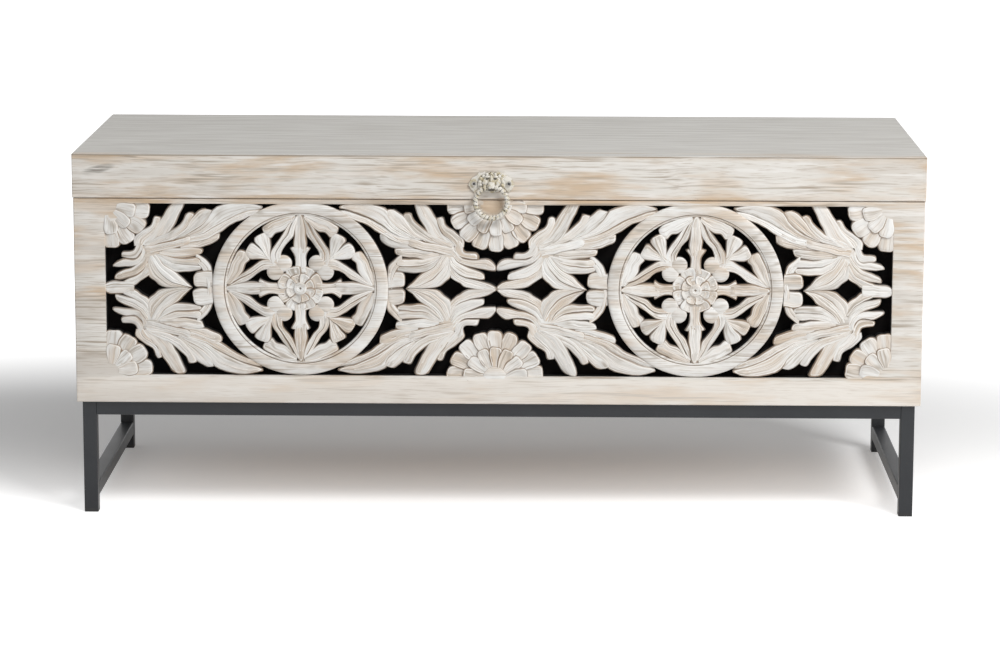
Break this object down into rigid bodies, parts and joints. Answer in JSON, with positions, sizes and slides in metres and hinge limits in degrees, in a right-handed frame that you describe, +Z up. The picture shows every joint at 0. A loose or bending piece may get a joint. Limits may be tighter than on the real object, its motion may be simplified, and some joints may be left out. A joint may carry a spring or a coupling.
{
  "type": "storage trunk",
  "caption": "Low storage trunk with a pierced and carved whitewashed wooden front, a flat hinged lid with a ring handle, on a black square-tube stand.",
  "frame": {"origin": "on the floor, below the middle of the whole object's box", "axes": "+X along the trunk to the right seen from the front, +Y from the front to the back, +Z up"},
  "size_m": [1.15, 0.4712, 0.496],
  "materials": {
    "whitewashed_wood": "whitewashed, matte, worn",
    "raw_wood": "raw, sanded",
    "black_board": "black stain, matte",
    "black_steel": "satin black powder coat",
    "black_plastic": "moulded, matte",
    "aged_brass": "cast, cream wash, worn",
    "hinge_steel": "zinc plated",
    "felt": "pressed felt"
  },
  "bodies": {
    "case": {"back_cleat": "raw_wood", "back_corner_dowels": "raw_wood", "back_panel": "whitewashed_wood", "back_rail": "black_steel", "backing_board_screws": "hinge_steel", "bottom_panel": "raw_wood", "bottom_panel_screws": "hinge_steel", "cleat_screws": "hinge_steel", "felt_bumpers": "felt", "foot_cap_back_left": "black_plastic", "foot_cap_back_right": "black_plastic", "foot_cap_front_left": "black_plastic", "foot_cap_front_right": "black_plastic", "front_backing_board": "black_board", "front_cleat": "raw_wood", "front_corner_dowels": "raw_wood", "front_panel": "whitewashed_wood", "front_rail": "black_steel", "hinge_case_screws": "hinge_steel", "left_cleat": "raw_wood", "left_hinge_case_leaf": "hinge_steel", "left_hinge_pin": "hinge_steel", "left_rail": "black_steel", "left_side_panel": "whitewashed_wood", "left_stay_stud": "hinge_steel", "left_stretcher": "black_steel", "leg_back_left": "black_steel", "leg_back_right": "black_steel", "leg_front_left": "black_steel", "leg_front_right": "black_steel", "right_cleat": "raw_wood", "right_hinge_case_leaf": "hinge_steel", "right_hinge_pin": "hinge_steel", "right_rail": "black_steel", "right_side_panel": "whitewashed_wood", "right_stay_stud": "hinge_steel", "right_stretcher": "black_steel", "stand_fixing_tabs": "black_steel", "stand_screws": "hinge_steel"},
    "lid": {"handle_plate": "aged_brass", "handle_plate_screws": "aged_brass", "hinge_lid_screws": "hinge_steel", "left_hinge_lid_leaf": "hinge_steel", "left_stay_pivot": "hinge_steel", "lid_back_rail": "whitewashed_wood", "lid_corner_dowels": "raw_wood", "lid_front_rail": "whitewashed_wood", "lid_left_rail": "whitewashed_wood", "lid_right_rail": "whitewashed_wood", "lid_top_board": "whitewashed_wood", "lid_top_dowels": "raw_wood", "right_hinge_lid_leaf": "hinge_steel", "right_stay_pivot": "hinge_steel"},
    "ring": {"handle_ring": "aged_brass"},
    "left_stay": {"left_lid_stay": "hinge_steel"},
    "right_stay": {"right_lid_stay": "hinge_steel"}
  },
  "joints": [
    {"name": "lid_hinge", "type": "hinge", "parent": "case", "child": "lid", "pos_m": [0, 0.23215, 0.4355], "axis": [-1, 0, 0], "range_deg": [0, 95]},
    {"name": "ring_swing", "type": "hinge", "parent": "lid", "child": "ring", "pos_m": [-0.0095, -0.22915, 0.455], "axis": [-1, 0, 0], "range_deg": [-5, 110]},
    {"name": "left_stay_turn", "type": "hinge", "parent": "lid", "child": "left_stay", "pos_m": [-0.55025, 0.11215, 0.4575], "axis": [-1, 0, 0], "range_deg": [-95, 0]},
    {"name": "right_stay_turn", "type": "hinge", "parent": "lid", "child": "right_stay", "pos_m": [0.55025, 0.11215, 0.4575], "axis": [-1, 0, 0], "range_deg": [-95, 0]}
  ],
  "couplings": [
    {"joint": "left_stay_turn", "follows": "lid_hinge", "ratio": -1},
    {"joint": "right_stay_turn", "follows": "lid_hinge", "ratio": -1}
  ]
}
